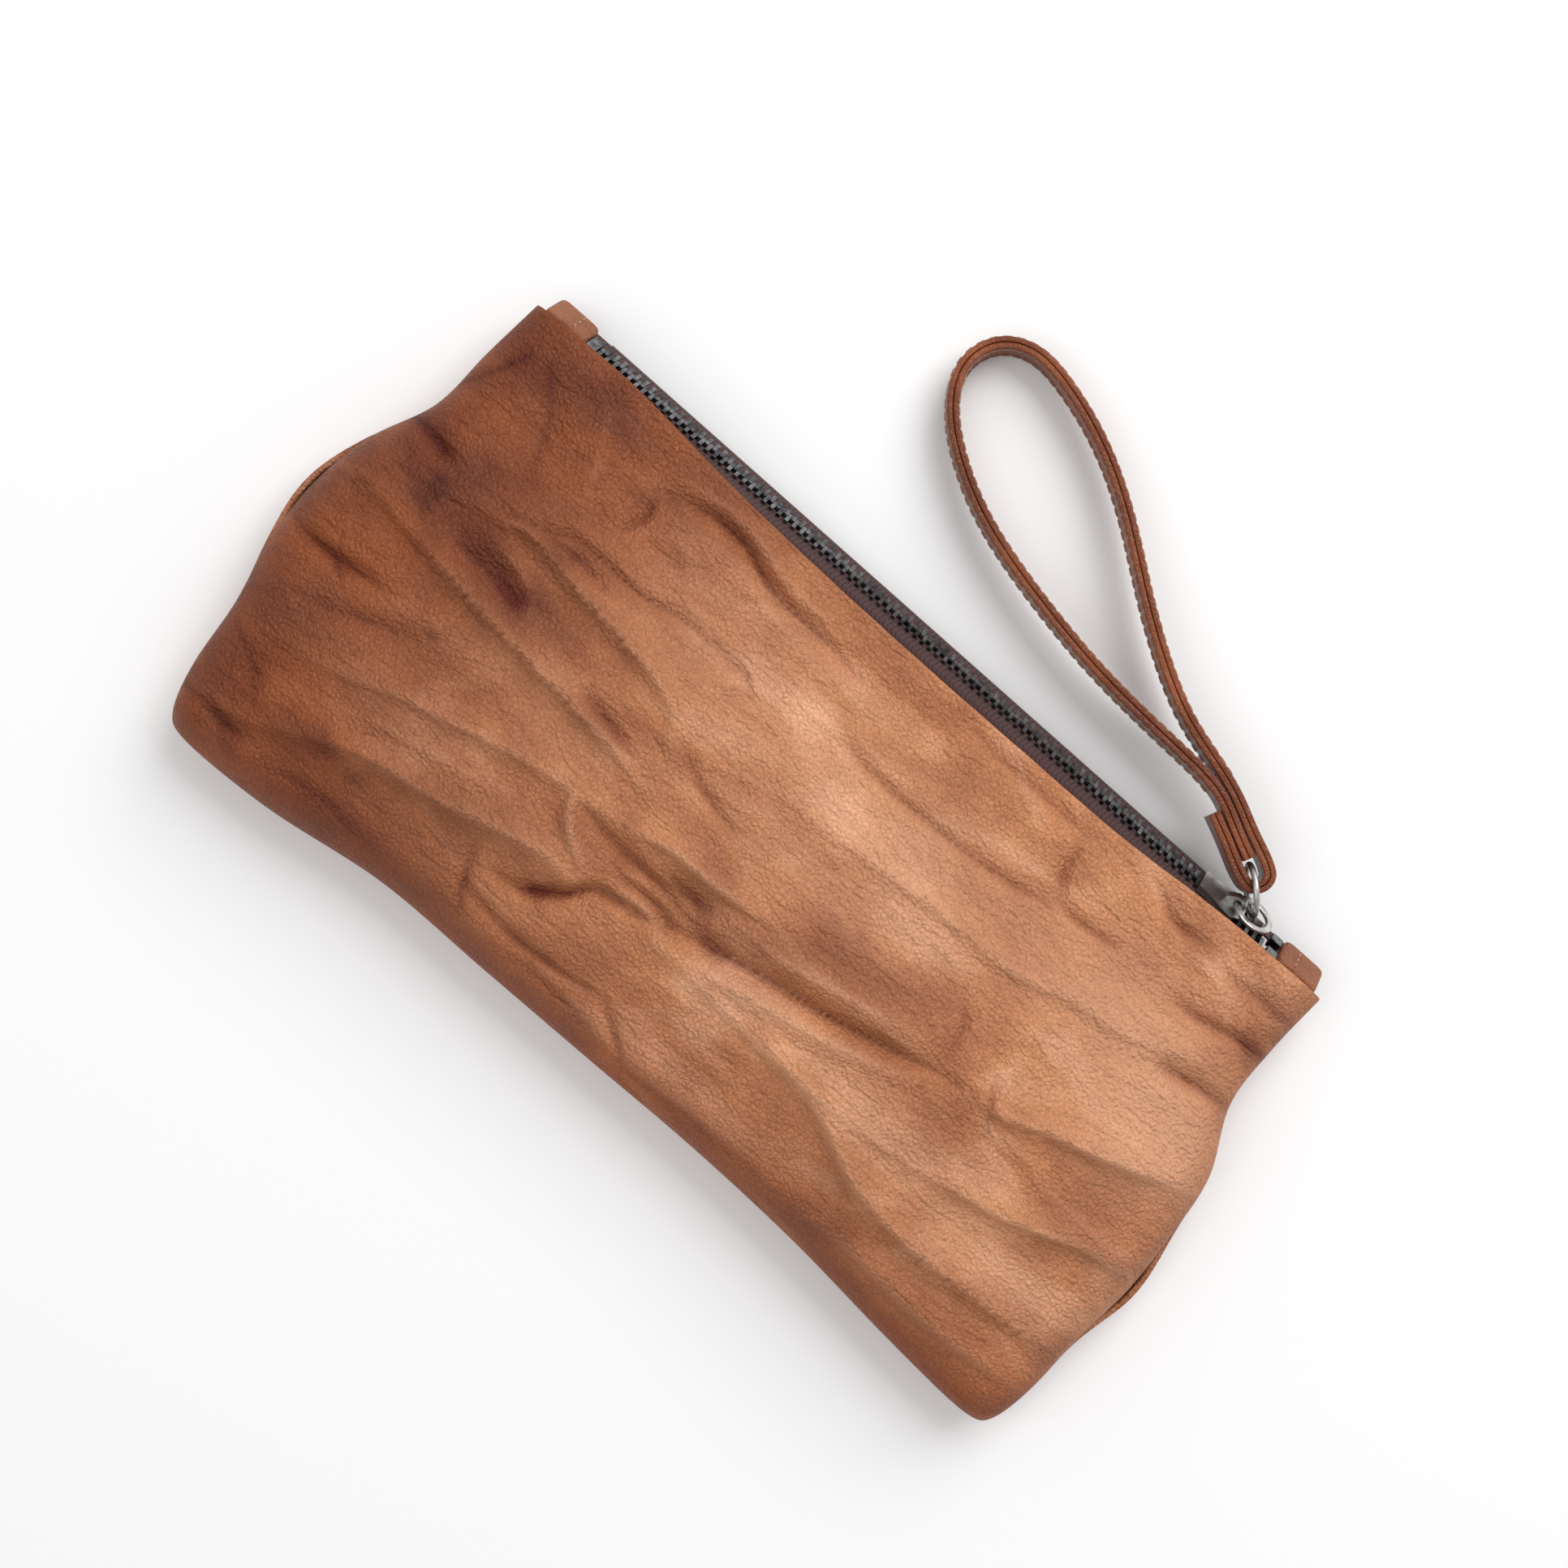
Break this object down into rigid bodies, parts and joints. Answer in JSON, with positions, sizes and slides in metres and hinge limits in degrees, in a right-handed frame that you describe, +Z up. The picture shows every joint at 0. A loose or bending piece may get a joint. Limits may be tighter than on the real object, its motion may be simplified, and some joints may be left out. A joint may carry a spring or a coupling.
{
  "type": "leather zip pouch",
  "caption": "Soft leather zip pouch lying on its back, with a metal zip along one long edge and a leather wrist strap on a wire ring at the slider.",
  "frame": {"origin": "in the flat face that the pouch lies on, under the middle of the zip", "axes": "+X along the zip towards its closed end, +Y from the pouch to its zip mouth, +Z up"},
  "size_m": [0.2746, 0.2078, 0.0277],
  "materials": {
    "pouch_leather": "soft tumbled tan leather",
    "strap_leather": "smooth dyed leather",
    "thread": "waxed thread",
    "zip_tape": "woven tape",
    "zip_metal": "dark metal",
    "nickel": "antique nickel"
  },
  "bodies": {
    "pouch": {"front_panel": "pouch_leather", "back_panel": "pouch_leather", "left_end_tab": "pouch_leather", "right_end_tab": "pouch_leather", "front_tape": "zip_tape", "back_tape": "zip_tape", "front_teeth": "zip_metal", "back_teeth": "zip_metal", "bottom_stop": "zip_metal", "top_stops": "zip_metal", "left_tab_stitches": "thread", "right_tab_stitches": "thread"},
    "slider": {"slider_body": "nickel", "slider_crown": "nickel"},
    "puller": {"pull_tab": "nickel"},
    "ring": {"pull_ring": "nickel"},
    "strap": {"strap_outer_layer": "strap_leather", "strap_inner_layer": "strap_leather", "strap_stitches": "thread"}
  },
  "joints": [
    {"name": "slider_slide", "type": "slide", "parent": "pouch", "child": "slider", "axis": [-1, 0, 0], "range_m": [0, 0.19], "deforming": ["front_teeth", "back_teeth"]},
    {"name": "puller_swing", "type": "hinge", "parent": "slider", "child": "puller", "pos_m": [0.095, 0.07099, 0.01216], "axis": [0, 0.5878, -0.809], "range_deg": [-5, 5]},
    {"name": "ring_turn", "type": "hinge", "parent": "puller", "child": "ring", "pos_m": [0.09535, 0.07526, 0.01221], "axis": [0.6947, 0.7193, 0], "range_deg": [0, 24]},
    {"name": "strap_swing", "type": "hinge", "parent": "ring", "child": "strap", "pos_m": [0.091, 0.07946, 0.01221], "axis": [0, 0, 1], "range_deg": [-18, 0]}
  ]
}
